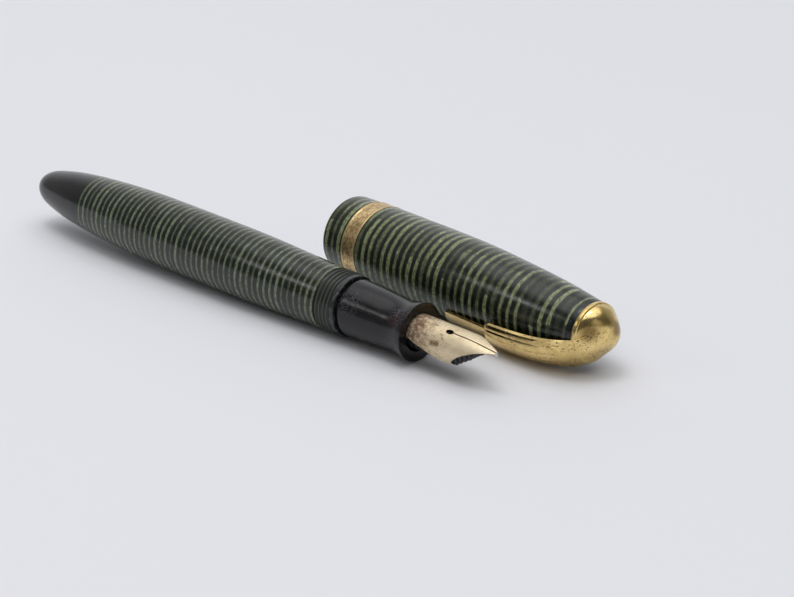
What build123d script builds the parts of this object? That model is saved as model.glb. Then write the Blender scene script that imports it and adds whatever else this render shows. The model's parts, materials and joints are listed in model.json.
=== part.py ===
from build123d import *
import os

# A button-filling fountain pen, uncapped, lying on a flat surface with its cap beside it.
# Row frame, mm: +Z up, X along the pen towards the nib, Y towards the cap's side.
# Pen frame: X along the pen's axis, 0 at the barrel's open mouth, nib towards +X.
# Cap frame: X along the cap's axis, 0 at the cap's lip, domed crown towards +X.

# ---- Placement of the two halves ----
PEN_TILT = 1.3          # degrees, the nib end lies this much lower
NIB_ROLL = 23.0         # degrees, how far the nib has rolled towards -Y
CAP_YAW = -5.33         # degrees, the cap's axis against the pen's
CAP_LIP_X = -20.25      # cap lip's centre from the barrel mouth, along X
CAP_LIP_Y = 20.5        # and across
CLIP_ROLL = 129.0       # degrees, the clip's direction about the cap's axis, from up towards -Y

# ---- Barrel ----
BARREL_LENGTH = 66.4
BARREL_R = 6.06         # the straight middle
GRIP_BACK = -46.0       # the straight middle's ends
GRIP_FRONT = -30.0
BARREL_TAIL_R = 5.1
THREAD_START = -5.5
THREAD_PITCH = 0.9
THREAD_RIDGES = 5
THREAD_CREST_R = 5.36
THREAD_ROOT_R = 5.1
MOUTH_R = 5.18
BARREL_BORE_R = 4.5
TAIL_BORE_R = 4.0
TAIL_SEAT = -60.0       # where the bore steps down for the tail nipple
CHAMFER = 0.15

# ---- Tail: nipple, blind cap, button ----
NIPPLE_END = -71.0
NIPPLE_R = 3.5
NIPPLE_THREAD_R = 3.66
BUTTON_BORE_R = 2.3
BUTTON_R = 2.22
BUTTON_FLANGE_R = 3.0
BUTTON_END = -73.6
BUTTON_INNER_END = -62.4
BUTTON_TRAVEL = 4.0
BLIND_CAP_END = -80.4
BLIND_BORE_R = 3.75

# ---- Ink sac and pressure bar ----
SAC_R = 3.3
SAC_WALL = 0.4
SAC_END = -56.5
BAR_LENGTH = 33.0
BAR_FRONT = -20.0
BAR_WIDTH = 3.4
BAR_THICK = 0.35
BAR_Z = 3.4             # underside, resting just over the sac
SPRING_WIDTH = 2.4
SPRING_THICK = 0.25
SPRING_BACK = -59.9
SPRING_FRONT = -10.6
RIVET_R = 0.6
SAC_NIPPLE_R = 2.88

# ---- Section, feed and nib ----
SECTION_TENON_R = 4.48
SECTION_TENON_LENGTH = 9.0
SAC_NIPPLE_END = -17.0
SECTION_FACE = 14.4
SECTION_BORE_R = 3.16
NIB_R = 3.12
NIB_THICK = 0.36
NIB_TIP = 31.0
NIB_BACK = 1.0
BREATHER_X = 21.8
BREATHER_R = 0.62
SLIT_WIDTH = 0.1
PELLET_R = 0.36
FEED_CORE_R = 2.72
FEED_TIP = 28.6
FEED_BACK = -12.8
FEED_FIRST_FIN = 16.2
FEED_FIN_PITCH = 0.85
FEED_FIN_GAP = 0.36
FEED_FINS = 13

# ---- Cap ----
CAP_LENGTH = 57.7       # lip to the crown's joint
CAP_END_R = 4.93
CAP_MOUTH_BORE_R = 5.75
CAP_THREAD_R = 5.5
CAP_THREAD_START = 4.6
CAP_THREAD_RIDGES = 4
INNER_SEAT = 9.2        # the inner cap's front edge
INNER_BORE_R = 5.08
INNER_WALL = 0.85
INNER_END = 45.0
BAND_START = 4.9
BAND_WIDTH = 3.4
BAND_DEPTH = 0.5
BAND_TUBE_R = 7.03
BAND_PROUD = 0.1
RIM_PROUD = 0.1
BUSHING_R = 2.6
BUSHING_END = 58.3
SCREW_R = 1.3
SCREW_HEAD_R = 2.3
SCREW_END = 59.6

# ---- Clip ----
STRAP_EDGE = 0.42       # the strap's thickness at its sides
STRAP_SLOT_GAP = 0.2    # room round the strap where it lies let into the crown
STRAP_SLOT_OPEN = 3.0   # the slot is open above the strap
TONGUE_HALF = 2.1
TONGUE_THICK = 0.4
CLIP_RIVET_R = 0.55
CLIP_RIVET_LENGTH = 1.0
CLIP_RIVET_Z = 7.74     # the rivets' middle
CLIP_RIVET_X = (42.6, 44.2)

# Pen outlines as (x, radius)
BARREL_BACK = [(-BARREL_LENGTH, BARREL_TAIL_R), (-60.5, 5.55), (-53.0, 5.93), (GRIP_BACK, BARREL_R)]
BARREL_FRONT = [(GRIP_FRONT, BARREL_R), (-21.5, 5.93), (-13.0, 5.62), (THREAD_START, THREAD_CREST_R + 0.02)]
BLIND_CAP_OUTER = [(-66.42, 5.08), (-70.5, 4.62), (-75.0, 3.82), (-78.4, 2.75), (-80.0, 1.45)]
SECTION_OUTER = [(0.9, 4.86), (4.6, 4.72), (8.4, 4.46), (11.2, 4.38), (12.8, 4.6), (13.9, 5.0)]
NIB_TOP = [(NIB_BACK, 3.12), (10.0, 3.12), (18.0, 3.12), (24.0, 3.08), (28.0, 2.76), (NIB_TIP, 2.36)]
# Lower edge of the nib's wings in side view: the shank, then the curve up from the shoulder to the tip
NIB_SHANK = [(NIB_BACK - 1, 1.3), (14.4, 1.25), (17.2, 0.49), (19.1, -0.27), (20.8, -0.78), (22.8, -0.92)]
NIB_TINE = [(22.9, -0.85), (23.6, 0.0), (24.7, 1.31), (25.8, 1.9), (27.5, 2.2), (29.2, 2.34), (NIB_TIP, 2.34)]
CAP_OUTER = [(-66.42, 5.08), (-70.5, 4.62), (-75.0, 3.82), (-78.4, 2.75), (-80.0, 1.45)]
SECTION_OUTER = [(0.9, 4.86), (4.6, 4.72), (8.4, 4.46), (11.2, 4.38), (12.8, 4.6), (13.9, 5.0)]
NIB_TOP = [(NIB_BACK, 3.12), (10.0, 3.12), (18.0, 3.12), (24.0, 3.08), (28.0, 2.76), (NIB_TIP, 2.36)]
NIB_EDGE = [(23.9, 0.2), (24.2, 0.55), (25.0, 1.13), (26.0, 1.63), (27.0, 2.04), (28.3, 2.28), (29.5, 2.38),
            (NIB_TIP, 2.31)]
CAP_OUTER = [(0.7, 6.88), (7.0, 7.07), (14.0, 7.15), (22.0, 7.17), (31.0, 7.09), (41.0, 6.58), (51.0, 5.79),
             (CAP_LENGTH, CAP_END_R)]
# Crown sections: x, height towards the clip, depth away from it, half width
DOME = [(58.4, 4.45, 4.8, 4.86), (59.0, 3.6, 4.51, 4.68), (60.0, 2.3, 3.86, 3.98), (61.0, 0.85, 2.83, 2.58),
        (61.6, -0.75, 1.5, 0.5)]
TONGUE_UNDERSIDE = [(30.0, 7.2), (36.0, 7.22), (41.0, 7.24), (45.0, 7.24)]
# Clip strap sections: x, crown height over the cap's axis, half width, drop from crown to side, thickness
STRAP = [(40.9, 8.49, 3.3, 1.5, 0.55), (45.0, 8.51, 3.6, 1.6, 0.55), (49.0, 8.22, 3.6, 1.6, 0.6),
         (53.0, 7.5, 3.6, 1.5, 0.6), (55.5, 6.6, 3.6, 1.3, 0.5), (57.7, 5.38, 3.4, 1.1, 0.34),
         (58.4, 4.85, 3.3, 1.05, 0.34), (59.0, 4.1, 3.1, 1.0, 0.4), (60.0, 2.8, 2.6, 0.85, 0.45),
         (61.0, 1.3, 1.8, 0.55, 0.45), (61.4, 0.6, 1.3, 0.4, 0.45)]


def turned(*pieces):
    """A solid of revolution about X. Each piece is a list of (x, r) points: a run of straight lines,
    or one smooth curve where the piece is a tuple. Pieces follow one another and close up."""
    with BuildPart() as body:
        with BuildSketch(Plane.XZ):
            with BuildLine():
                points = []
                for piece in pieces:
                    if points and points[-1] != piece[0]:
                        Line(points[-1], piece[0])
                    if isinstance(piece, tuple):
                        Spline(*piece)
                    elif len(piece) > 1:
                        Polyline(*piece)
                    points.extend(piece)
                if points[-1] != points[0]:
                    Line(points[-1], points[0])
            make_face()
        revolve(axis=Axis.X)
    return body.part


def ridges(start, pitch, count, root, crest):
    """Zigzag outline of thread ridges, as (x, r) points."""
    points = []
    for i in range(count):
        x = start + i * pitch
        points += [(x, root), (x + 0.38 * pitch, crest), (x + 0.62 * pitch, crest)]
    points.append((start + count * pitch, root))
    return points


def slab(x_back, x_front, half_width, z_low, z_high):
    """A flat strip along X."""
    length = x_front - x_back
    middle = ((x_back + x_front) / 2, 0, (z_low + z_high) / 2)
    return Pos(*middle) * Box(length, 2 * half_width, z_high - z_low)


# ---- Pen ----
def barrel():
    thread = ridges(THREAD_START + 0.1, THREAD_PITCH, THREAD_RIDGES, THREAD_ROOT_R, THREAD_CREST_R)
    outer_mouth = [(-1.1, THREAD_ROOT_R), (-1.0, MOUTH_R), (-CHAMFER, MOUTH_R), (0, MOUTH_R - CHAMFER)]
    bore = [(0, BARREL_BORE_R), (TAIL_SEAT, BARREL_BORE_R), (TAIL_SEAT, TAIL_BORE_R),
            (-BARREL_LENGTH, TAIL_BORE_R)]
    return turned(tuple(BARREL_BACK), tuple(BARREL_FRONT), thread, outer_mouth, bore)


def tail_nipple():
    face = -BARREL_LENGTH
    thread = ridges(-70.4, 0.8, 4, NIPPLE_R, NIPPLE_THREAD_R)
    outline = [(TAIL_SEAT - 0.05, TAIL_BORE_R - 0.01), (TAIL_SEAT - 0.05, BUTTON_FLANGE_R + 0.1),
               (-63.4, BUTTON_FLANGE_R + 0.1), (-63.4, BUTTON_BORE_R), (NIPPLE_END, BUTTON_BORE_R),
               (NIPPLE_END, NIPPLE_R - 0.2), (NIPPLE_END + 0.2, NIPPLE_R)]
    root = [(face - 0.02, NIPPLE_R), (face - 0.02, TAIL_BORE_R - 0.01)]
    return turned(outline, thread, root)


def filler_button():
    outline = [(BUTTON_INNER_END, 0), (BUTTON_INNER_END, BUTTON_FLANGE_R), (-63.2, BUTTON_FLANGE_R),
               (-63.2, BUTTON_R), (-72.6, BUTTON_R)]
    dome = ((-72.6, BUTTON_R), (-73.3, 1.5), (BUTTON_END, 0))
    return turned(outline, dome)


def blind_cap():
    nose = ((-80.0, 1.45), (BLIND_CAP_END + 0.06, 0.7), (BLIND_CAP_END, 0))
    inner = [(-76.0, 0), (-76.0, 1.6), (-74.6, 2.7), (-71.6, 2.9), (-71.6, BLIND_BORE_R),
             (-66.42, BLIND_BORE_R)]
    return turned(tuple(BLIND_CAP_OUTER), nose, inner)


def ink_sac():
    inner = SAC_R - SAC_WALL
    shoulder = SAC_END + SAC_R
    outline = [(-9.4, SAC_R), (-9.4, inner), (shoulder, inner)]
    inner_end = ((shoulder, inner), (SAC_END + 1.35, 2.0), (SAC_END + SAC_WALL, 0))
    outer_end = ((SAC_END, 0), (SAC_END + 1.0, 2.4), (shoulder, SAC_R))
    return turned(outline, inner_end, outer_end)


def pressure_bar():
    body = slab(BAR_FRONT - BAR_LENGTH, BAR_FRONT, BAR_WIDTH / 2, BAR_Z, BAR_Z + BAR_THICK)
    return body - rivet_pair(RIVET_R)


def bar_spring():
    low = BAR_Z + BAR_THICK
    body = slab(SPRING_BACK, SPRING_FRONT, SPRING_WIDTH / 2, low, low + SPRING_THICK)
    return body - rivet_pair(RIVET_R)


def rivet_pair(radius):
    """The two rivets that hold the pressure bar to its spring."""
    height = BAR_THICK + SPRING_THICK
    pins = [Pos(x, 0, BAR_Z + height / 2) * Cylinder(radius, height) for x in (BAR_FRONT - 3, BAR_FRONT - 7)]
    return Part() + pins


def section():
    sac_seat = [(0.35, SECTION_TENON_R), (-SECTION_TENON_LENGTH, SECTION_TENON_R),
                (-SECTION_TENON_LENGTH, SAC_NIPPLE_R), (SAC_NIPPLE_END, SAC_NIPPLE_R),
                (SAC_NIPPLE_END, 1.8), (-12.9, 1.8), (-12.9, SECTION_BORE_R - 1.2),
                (0.5, SECTION_BORE_R - 1.2), (0.5, SECTION_BORE_R), (SECTION_FACE, SECTION_BORE_R),
                (SECTION_FACE, 4.75)]
    lip = ((SECTION_FACE, 4.75), (14.25, 4.98), (13.9, 5.0))
    waist = tuple(reversed(SECTION_OUTER))
    shoulder = ((0.9, 4.86), (0.5, 4.74), (0.35, SECTION_TENON_R))
    return turned(lip, waist, shoulder, sac_seat)


def feed_stick():
    """The round stick that fills the section's bore under the nib, slanting up to a thin tip."""
    back = turned([(FEED_BACK, 0), (FEED_BACK, SECTION_BORE_R - 1.22), (0.6, SECTION_BORE_R - 1.22),
                   (0.6, FEED_CORE_R), (19.0, FEED_CORE_R), (24.0, 2.66), (27.5, 2.38), (FEED_TIP, 2.25),
                   (FEED_TIP, 0)])
    full = turned([(0.6, 0), (0.6, NIB_R), (FEED_FIRST_FIN, NIB_R), (FEED_FIRST_FIN, 0)])
    under = Pos(10, 0, -10) * Box(60, 20, 19.9)
    return back + (full & under)


def feed():
    slant = Polyline((19.0, -4.0), (21.0, -3.1), (24.5, -2.0), (FEED_TIP, 1.15), (FEED_TIP + 2, 1.2),
                     (FEED_TIP + 2, -6.0), (19.0, -6.0), (19.0, -4.0))
    away = extrude(Plane.XZ * make_face(slant), amount=6, both=True)
    flat_top = Polyline((25.0, 3.2), (26.0, 2.1), (FEED_TIP + 1, 1.75), (FEED_TIP + 1, 4.0), (25.0, 3.2))
    above = extrude(Plane.XZ * make_face(flat_top), amount=6, both=True)
    gaps = []
    for i in range(FEED_FINS):
        x = FEED_FIRST_FIN + i * FEED_FIN_PITCH
        floor_z = -2.0 if x < 22 else -2.0 + (x - 22) * 0.42
        gaps.append(Pos(x, 0, floor_z - 2.0) * Box(FEED_FIN_GAP, 8, 4.0))
    channel = Pos((16 + FEED_TIP) / 2, 0, 2.7) * Box(FEED_TIP - 16, 0.5, 0.7)
    return feed_stick() - away - above - gaps - channel


def nib():
    shell = turned(tuple(NIB_TOP), [(NIB_TIP, NIB_TOP[-1][1] - NIB_THICK)],
                   tuple((x, r - NIB_THICK) for x, r in reversed(NIB_TOP)))
    high = NIB_R + 1
    with BuildSketch(Plane.XZ) as window:
        with BuildLine():
            Polyline(NIB_SHANK[0], NIB_SHANK[1])
            Spline(*NIB_SHANK[1:])
            Line(NIB_SHANK[-1], NIB_TINE[0])
            Spline(*NIB_TINE)
            Polyline(NIB_TINE[-1], (NIB_TIP, high), (NIB_SHANK[0][0], high), NIB_SHANK[0])
        make_face()
    blade = shell & extrude(window.sketch, amount=2 * NIB_R, both=True)
    hole = Pos(BREATHER_X, 0, NIB_R) * Cylinder(BREATHER_R, 2 * NIB_THICK + 1)
    slit = slab(BREATHER_X, NIB_TIP + 1, SLIT_WIDTH / 2, 0, high)
    return blade - hole - slit


def nib_pellet():
    """The hard writing point under the tip, split by the slit."""
    ball = Pos(NIB_TIP + 0.06, 0, NIB_TOP[-1][1] - NIB_THICK - 0.06) * Sphere(PELLET_R)
    return ball - nib() - slab(BREATHER_X, NIB_TIP + 1, SLIT_WIDTH / 2, 0, 5)


# ---- Cap ----
def cap_tube():
    mouth = [(0.0, 6.55), (0.0, CAP_MOUTH_BORE_R + 0.2), (0.25, CAP_MOUTH_BORE_R),
             (CAP_THREAD_START, CAP_MOUTH_BORE_R)]
    thread = ridges(CAP_THREAD_START, THREAD_PITCH, CAP_THREAD_RIDGES, CAP_MOUTH_BORE_R, CAP_THREAD_R)
    inner = INNER_BORE_R + INNER_WALL
    bore = [(INNER_SEAT - 0.6, CAP_MOUTH_BORE_R), (INNER_SEAT - 0.5, inner + 0.01), (30.0, inner + 0.01),
            (INNER_END, 4.6), (INNER_END + 0.4, 4.6), (INNER_END + 0.4, BUSHING_R), (CAP_LENGTH, BUSHING_R),
            (CAP_LENGTH, CAP_END_R)]
    lip = ((0.7, 6.88), (0.2, 6.78), (0.0, 6.55))
    body = turned(lip, mouth, thread, bore, tuple(reversed(CAP_OUTER)))
    return body - band_ring(1.0)


def band_ring(proud):
    """A ring from the floor of the band's groove to this far over the tube."""
    back, front = BAND_START, BAND_START + BAND_WIDTH
    floor = BAND_TUBE_R - BAND_DEPTH
    return turned([(back, floor), (back, BAND_TUBE_R + proud), (front, BAND_TUBE_R + 0.05 + proud),
                   (front, floor)])


def cap_band():
    return band_ring(BAND_PROUD)


def inner_cap():
    outer = INNER_BORE_R + INNER_WALL
    outline = [(INNER_SEAT, outer), (30.0, outer), (INNER_END, 4.58), (INNER_END, 0), (INNER_END - 1.0, 0),
               (INNER_END - 1.0, 3.7), (27.0, INNER_BORE_R), (INNER_SEAT + 0.3, INNER_BORE_R),
               (INNER_SEAT, INNER_BORE_R + 0.25)]
    hole = Pos(INNER_END, 0, 0) * Rot(0, 90, 0) * Cylinder(SCREW_R + 0.05, 4)
    return turned(outline) - hole


def crown_bushing():
    return turned([(INNER_END + 0.45, SCREW_R + 0.02), (INNER_END + 0.45, BUSHING_R - 0.01),
                   (BUSHING_END, BUSHING_R - 0.01), (BUSHING_END, SCREW_R + 0.02)])


def crown_screw():
    head = INNER_END - 1.05
    shank = turned([(head - 1.3, 0), (head - 1.3, SCREW_HEAD_R - 0.3), (head - 1.0, SCREW_HEAD_R),
                    (head, SCREW_HEAD_R), (head, SCREW_R), (SCREW_END, SCREW_R), (SCREW_END, 0)])
    return shank - Pos(head - 1.3, 0, 0) * Box(1.0, 6, 0.5)


def dome_section(x, up, down, half_width):
    plane = Plane(origin=(x, 0, (up - down) / 2), x_dir=(0, 1, 0), z_dir=(1, 0, 0))
    return plane * Ellipse(half_width, (up + down) / 2)


def crown_dome():
    """The rounded metal end, leaning away from the clip, with a thin rim against the cap's end."""
    seat, front = CAP_LENGTH + 0.02, DOME[0][0]
    rim = turned([(seat, 0), (seat, CAP_END_R), (seat + CHAMFER, CAP_END_R + RIM_PROUD),
                  (front - CHAMFER, CAP_END_R + RIM_PROUD), (front, CAP_END_R), (front, 0)])
    solid = rim + loft([dome_section(*row) for row in DOME])
    socket = turned([(seat - 1, 0), (seat - 1, BUSHING_R + 0.01), (BUSHING_END + 0.02, BUSHING_R + 0.01),
                     (BUSHING_END + 0.02, SCREW_R + 0.02), (SCREW_END + 0.02, SCREW_R + 0.02),
                     (SCREW_END + 0.02, 0)])
    return solid - socket - strap_blank(gap=STRAP_SLOT_GAP, extra=STRAP_SLOT_OPEN)


def strap_face(x, crown, half_width, drop, thick, gap, extra):
    """The clip strap's section at x, a crescent; gap thickens it below and at the sides, extra above."""
    side = crown - drop
    with BuildSketch(Plane(origin=(x, 0, 0), x_dir=(0, 1, 0), z_dir=(1, 0, 0))) as face:
        with BuildLine():
            width = half_width + gap
            ThreePointArc((-width, side + extra), (0, crown + extra), (width, side + extra))
            Line((width, side + extra), (width, side - STRAP_EDGE - gap))
            ThreePointArc((width, side - STRAP_EDGE - gap), (0, crown - thick - gap),
                          (-width, side - STRAP_EDGE - gap))
            Line((-width, side - STRAP_EDGE - gap), (-width, side + extra))
        make_face()
    return face.sketch


def strap_blank(gap=0.0, extra=0.0):
    return loft([strap_face(*row, gap, extra) for row in STRAP], ruled=True)


def clip_strap():
    corner = 3.0
    x = STRAP[0][0]
    rounding = Pos(x + corner, 0, 6) * Cylinder(corner + 0.6, 12) + Pos(x + corner + 12, 0, 6) * Box(24, 12, 12)
    return (strap_blank() & rounding) - clip_rivets(0.03)


def clip_tongue():
    """A spring leaf, curved like the cap below it, whose tip rests on the cap."""
    outside = [(x, r + TONGUE_THICK) for x, r in reversed(TONGUE_UNDERSIDE)]
    leaf = turned(TONGUE_UNDERSIDE, outside)
    length = TONGUE_UNDERSIDE[-1][0] - TONGUE_UNDERSIDE[0][0]
    window = Pos(TONGUE_UNDERSIDE[0][0] + length / 2, 0, 7) * Box(length + 2, 2 * TONGUE_HALF, 6)
    return (leaf & window) - clip_rivets(0.03)


def clip_rivets(gap):
    """Two rivets through the strap and the tongue below it."""
    pins = [Pos(x, 0, CLIP_RIVET_Z) * Cylinder(CLIP_RIVET_R + gap, CLIP_RIVET_LENGTH) for x in CLIP_RIVET_X]
    return Part() + pins


# ---- Assembly ----
PEN_NODES = {"barrel": barrel, "tail_nipple": tail_nipple, "filler_button": filler_button,
             "blind_cap": blind_cap, "ink_sac": ink_sac, "pressure_bar": pressure_bar,
             "bar_spring": bar_spring, "bar_rivets": lambda: rivet_pair(RIVET_R), "section": section}
NIB_NODES = {"feed": feed, "nib": nib, "nib_pellet": nib_pellet}
CAP_NODES = {"cap_tube": cap_tube, "cap_band": cap_band, "inner_cap": inner_cap,
             "crown_bushing": crown_bushing, "crown_screw": crown_screw}
CLIP_NODES = {"crown_dome": crown_dome, "clip_strap": clip_strap, "clip_tongue": clip_tongue,
              "clip_rivets": lambda: clip_rivets(0)}

pen_turn = Rot(0, PEN_TILT, 0)
cap_turn = Pos(CAP_LIP_X, CAP_LIP_Y, 0) * Rot(0, 0, CAP_YAW)
pen = {name: pen_turn * make() for name, make in PEN_NODES.items()}
pen.update({name: pen_turn * Rot(NIB_ROLL, 0, 0) * make() for name, make in NIB_NODES.items()})
cap = {name: cap_turn * make() for name, make in CAP_NODES.items()}
cap.update({name: cap_turn * Rot(CLIP_ROLL, 0, 0) * make() for name, make in CLIP_NODES.items()})


def low_z(shapes):
    return min(shape.bounding_box().min.Z for shape in shapes.values())


def rest(shapes):
    """Lowers the shapes until the lowest touches the surface."""
    drop = Pos(0, 0, -low_z(shapes))
    return drop, {name: drop * shape for name, shape in shapes.items()}


pen_drop, pen = rest(pen)
cap_drop, cap = rest(cap)
nodes = {**pen, **cap}
boxes = [shape.bounding_box() for shape in nodes.values()]
middle_x = (min(b.min.X for b in boxes) + max(b.max.X for b in boxes)) / 2
middle_y = (min(b.min.Y for b in boxes) + max(b.max.Y for b in boxes)) / 2
centre = Pos(-middle_x, -middle_y, 0)
pen_frame = centre * pen_drop * pen_turn
cap_frame = centre * cap_drop * cap_turn
nodes = {name: centre * shape for name, shape in nodes.items()}

os.makedirs("parts", exist_ok=True)
for name, shape in nodes.items():
    export_step(shape, f"parts/{name}.step")
print("pen frame origin", pen_frame.position, "cap frame origin", cap_frame.position)
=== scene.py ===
import json
import math

import bmesh
import bpy
import numpy as np
from mathutils import Matrix, Vector

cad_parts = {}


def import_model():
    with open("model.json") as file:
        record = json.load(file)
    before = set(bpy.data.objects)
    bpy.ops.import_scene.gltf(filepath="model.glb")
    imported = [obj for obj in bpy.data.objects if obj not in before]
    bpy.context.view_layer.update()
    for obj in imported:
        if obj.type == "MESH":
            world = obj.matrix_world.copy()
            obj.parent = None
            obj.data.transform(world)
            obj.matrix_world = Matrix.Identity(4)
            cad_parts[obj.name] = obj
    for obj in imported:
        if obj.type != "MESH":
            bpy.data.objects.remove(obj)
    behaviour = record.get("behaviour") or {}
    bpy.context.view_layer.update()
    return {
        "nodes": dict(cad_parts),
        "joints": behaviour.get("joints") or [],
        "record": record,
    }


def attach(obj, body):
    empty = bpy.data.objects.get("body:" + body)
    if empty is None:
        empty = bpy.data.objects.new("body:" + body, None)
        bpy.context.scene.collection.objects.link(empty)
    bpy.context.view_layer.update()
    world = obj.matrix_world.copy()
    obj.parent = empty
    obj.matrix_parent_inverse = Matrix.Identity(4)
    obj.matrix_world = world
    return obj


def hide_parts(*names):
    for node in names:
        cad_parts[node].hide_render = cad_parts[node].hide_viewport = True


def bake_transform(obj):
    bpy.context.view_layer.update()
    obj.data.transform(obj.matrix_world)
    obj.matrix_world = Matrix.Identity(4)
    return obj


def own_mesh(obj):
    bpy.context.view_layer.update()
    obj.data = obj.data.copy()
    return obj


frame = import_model()

# A fountain pen lying uncapped beside its cap. Shapes are made in two local frames, in millimetres:
# pen frame: X along the pen, 0 at the barrel's mouth, nib towards +X, Z up.
# cap frame: X along the cap, 0 at its lip, crown towards +X, Z towards the clip.
MM = 0.001
AROUND = 192            # points round a turned piece

# Where the record's mounts and joints lie in the local frames
GRIP_X = -38.0
CLIP_PIVOT = (61.45, -0.3)
NIB_ROLL = 23.0         # degrees

# Stripes of the laminate
BARREL_PITCH = 1.35
BARREL_PHASE = -62.8    # a green ring's centre
CAP_PITCH = 1.63
CAP_PHASE = 1.05

# Barrel thread
THREAD_START = -4.55
THREAD_END = -1.0
THREAD_PITCH = 0.84
THREAD_ROOT = 5.08
THREAD_DEPTH = 0.28

# Nib
NIB_THICK = 0.34
NIB_TIP = 31.0
BREATHER_X = 21.8
BREATHER_LONG = 0.72
BREATHER_WIDE = 0.45
SLIT = 0.15

# Cap band
BAND_START = 5.2
BAND_END = 8.6
BAND_R = 7.1


# ---- Frames ----
joints = {joint["name"]: joint for joint in frame["joints"]}
mounts = {mount["name"]: mount for mount in frame["record"]["mounts"]}


def placed(origin, x_axis, z_near):
    """A frame at origin, in metres, with this X axis and Z as near z_near as it can be."""
    x = Vector(x_axis).normalized()
    y = Vector(z_near).cross(x).normalized()
    z = x.cross(y)
    turn = Matrix((x, y, z)).transposed().to_4x4()
    return Matrix.Translation(origin) @ turn


pen_x = Vector(joints["button_press"]["axis"]).normalized()
mouth = Vector(mounts["barrel_grip"]["pos_m"]) - pen_x * GRIP_X * MM
PEN = placed(mouth, pen_x, (0, 0, 1))
NIB = PEN @ Matrix.Rotation(math.radians(NIB_ROLL), 4, "X")

cap_x = Vector(joints["cap_off"]["axis"]).normalized()
clip_z = cap_x.cross(Vector(joints["clip_flex"]["axis"]))
pivot = Vector(joints["clip_flex"]["pos_m"])
CAP = placed(pivot - (cap_x * CLIP_PIVOT[0] + clip_z * CLIP_PIVOT[1]) * MM, cap_x, clip_z)


# ---- Mesh helpers ----
def smooth(points, count):
    """count points spread evenly along a smooth curve through the given ones."""
    points = np.array(points, float)
    knots = np.concatenate([[0], np.cumsum(np.linalg.norm(np.diff(points, axis=0), axis=1))])
    gap = np.diff(knots)
    slope = np.diff(points, axis=0) / gap[:, None]
    size = len(points)
    system = np.eye(size)
    right = np.zeros_like(points)
    for i in range(1, size - 1):
        system[i, i - 1:i + 2] = gap[i - 1], 2 * (gap[i - 1] + gap[i]), gap[i]
        right[i] = 6 * (slope[i] - slope[i - 1])
    bend = np.linalg.solve(system, right)
    at = np.linspace(0, knots[-1], count)
    i = np.clip(np.searchsorted(knots, at, side="right") - 1, 0, size - 2)
    a = (at - knots[i])[:, None]
    b = (knots[i + 1] - at)[:, None]
    h = gap[i][:, None]
    curve = (bend[i] * b ** 3 + bend[i + 1] * a ** 3) / (6 * h)
    curve += (points[i] / h - bend[i] * h / 6) * b + (points[i + 1] / h - bend[i + 1] * h / 6) * a
    return [tuple(p) for p in curve]


def along(table, at):
    """Each column of a table of (x, ...) rows, smoothly read off at the given x."""
    rows = np.array(smooth(table, 400))
    return [np.interp(at, rows[:, 0], rows[:, k]) for k in range(1, rows.shape[1])]


def eased(points, size=0.1, steps=3):
    """A run of straight lines with its inner corners rounded off."""
    out = [tuple(points[0])]
    for before, corner, after in zip(points, points[1:], points[2:]):
        b, c, a = (np.array(p, float) for p in (before, corner, after))
        back, on = b - c, a - c
        start = c + back * min(0.45, size / max(np.linalg.norm(back), 1e-9))
        end = c + on * min(0.45, size / max(np.linalg.norm(on), 1e-9))
        for t in np.linspace(0, 1, steps + 1):
            out.append(tuple((1 - t) ** 2 * start + 2 * t * (1 - t) * c + t ** 2 * end))
    out.append(tuple(points[-1]))
    return out


def skin(rings, closed=False):
    """Points and faces of a surface through rings of points. A ring of one point is a pole."""
    points = [p for ring in rings for p in ring]
    starts = np.concatenate([[0], np.cumsum([len(ring) for ring in rings])])[:-1]
    pairs = list(zip(range(len(rings)), range(1, len(rings))))
    if closed:
        pairs.append((len(rings) - 1, 0))
    faces = []
    for a, b in pairs:
        size_a, size_b = len(rings[a]), len(rings[b])
        count = max(size_a, size_b)
        for i in range(count):
            j = (i + 1) % count
            corners = (starts[a] + i % size_a, starts[a] + j % size_a,
                       starts[b] + j % size_b, starts[b] + i % size_b)
            faces.append(tuple(dict.fromkeys(int(c) for c in corners)))
    return points, faces


def skin_of_bands(rings):
    """A closed skin through flat rings, where half of each ring's points run across and half run back."""
    points, faces = skin(rings)
    count = len(rings[0])
    for start in (0, (len(rings) - 1) * count):
        for i in range(count // 2 - 1):
            faces.append((start + i, start + i + 1, start + count - 2 - i, start + count - 1 - i))
    return points, faces


def drill(x, half_long, half_wide, low, high, count):
    """An upright oval bar between two heights, for cutting a hole."""
    turn = np.arange(count) * 2 * math.pi / count
    rim = [(x + half_long * math.cos(a), half_wide * math.sin(a)) for a in turn]
    return skin([[(x, 0, low)], [(a, b, low) for a, b in rim], [(a, b, high) for a, b in rim],
                 [(x, 0, high)]])


def turned(outline, ripple=None):
    """A body turned about X from an outline of (x, r). ripple(x, r, angles) may change r round a ring."""
    angles = np.arange(AROUND) * 2 * math.pi / AROUND
    rings = []
    for x, r in outline:
        if r < 1e-6:
            rings.append([(x, 0, 0)])
            continue
        radii = np.full(AROUND, r) if ripple is None else ripple(x, r, angles)
        rings.append(np.column_stack([np.full(AROUND, x), radii * np.sin(angles), radii * np.cos(angles)]))
    closed = outline[0][1] > 1e-6 and outline[-1][1] > 1e-6
    return skin(rings, closed)


def closed_mesh(name, shape, place):
    """A mesh in metres in the shared frame, with its normals outwards."""
    points, faces = shape
    local = np.array([tuple(p) for p in points]) * MM
    turn = np.array(place.to_3x3())
    mesh = bpy.data.meshes.new(name)
    mesh.from_pydata((local @ turn.T + np.array(place.translation)).tolist(), [], faces)
    edit = bmesh.new()
    edit.from_mesh(mesh)
    bmesh.ops.recalc_face_normals(edit, faces=edit.faces)
    edit.to_mesh(mesh)
    edit.free()
    return mesh


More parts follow.
